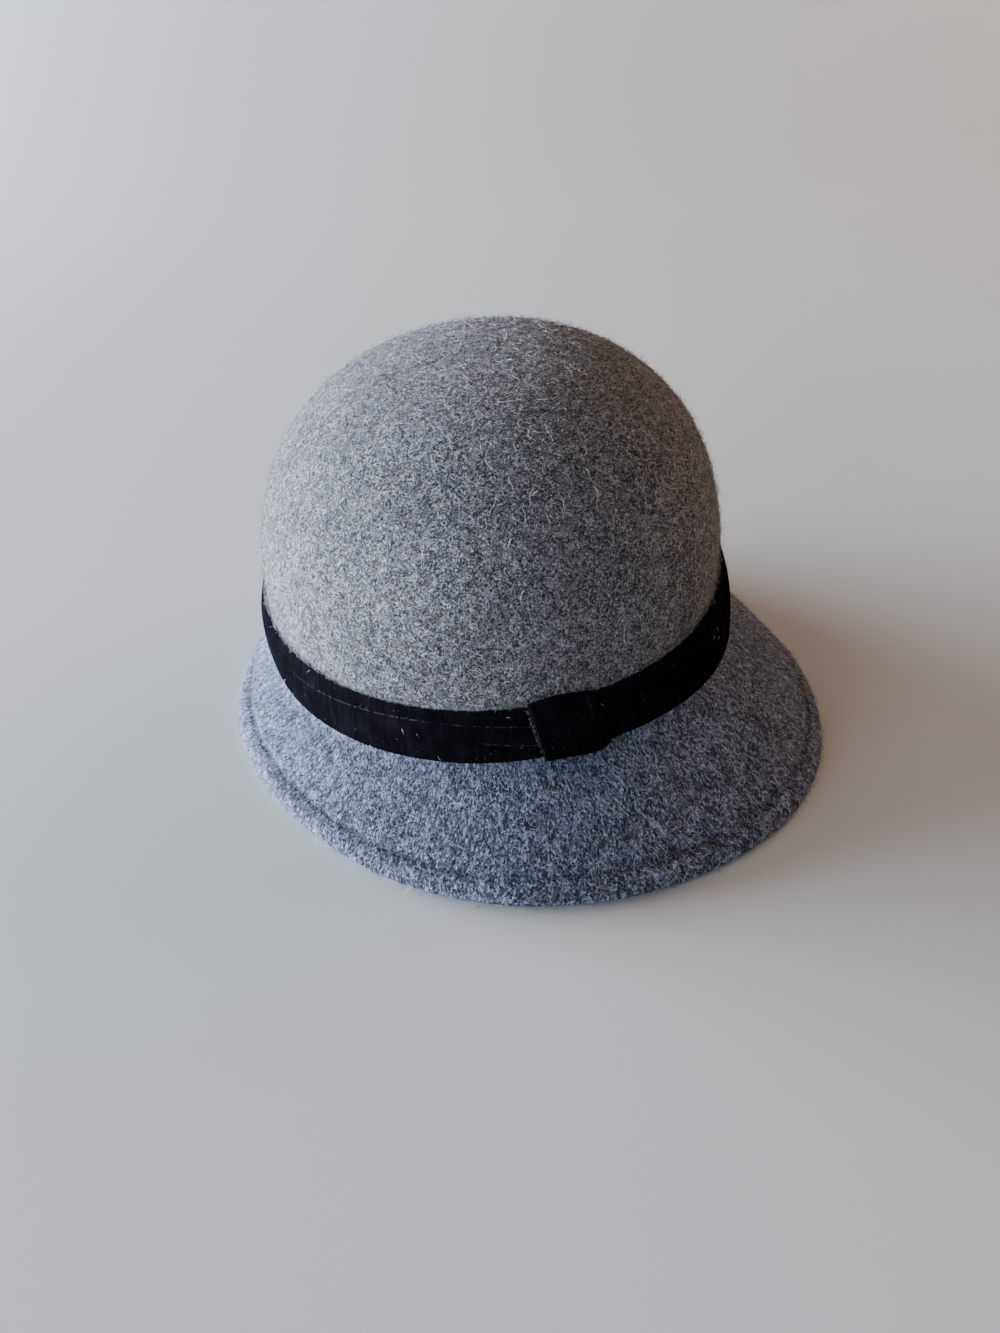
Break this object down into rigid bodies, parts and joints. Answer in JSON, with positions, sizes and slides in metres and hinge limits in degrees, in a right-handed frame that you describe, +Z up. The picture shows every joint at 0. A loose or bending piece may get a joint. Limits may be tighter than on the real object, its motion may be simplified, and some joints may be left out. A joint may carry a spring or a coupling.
{
  "type": "cloche hat",
  "caption": "Grey wool felt cloche hat with a rounded crown, a sloping brim with a stitched hem and a black velvet band held by a wrapped strap.",
  "frame": {"origin": "on the surface that the brim stands on, under the middle of the brim's outline", "axes": "+Z up, the front of the hat towards -Y, the wearer's left towards +X"},
  "size_m": [0.2262, 0.2554, 0.1342],
  "materials": {
    "felt": "heather grey wool felt, matt and slightly hairy",
    "velvet": "black velvet with a short upright pile"
  },
  "bodies": {
    "root": {"felt_body": "felt", "band": "velvet", "band_loop": "velvet"}
  },
  "joints": []
}
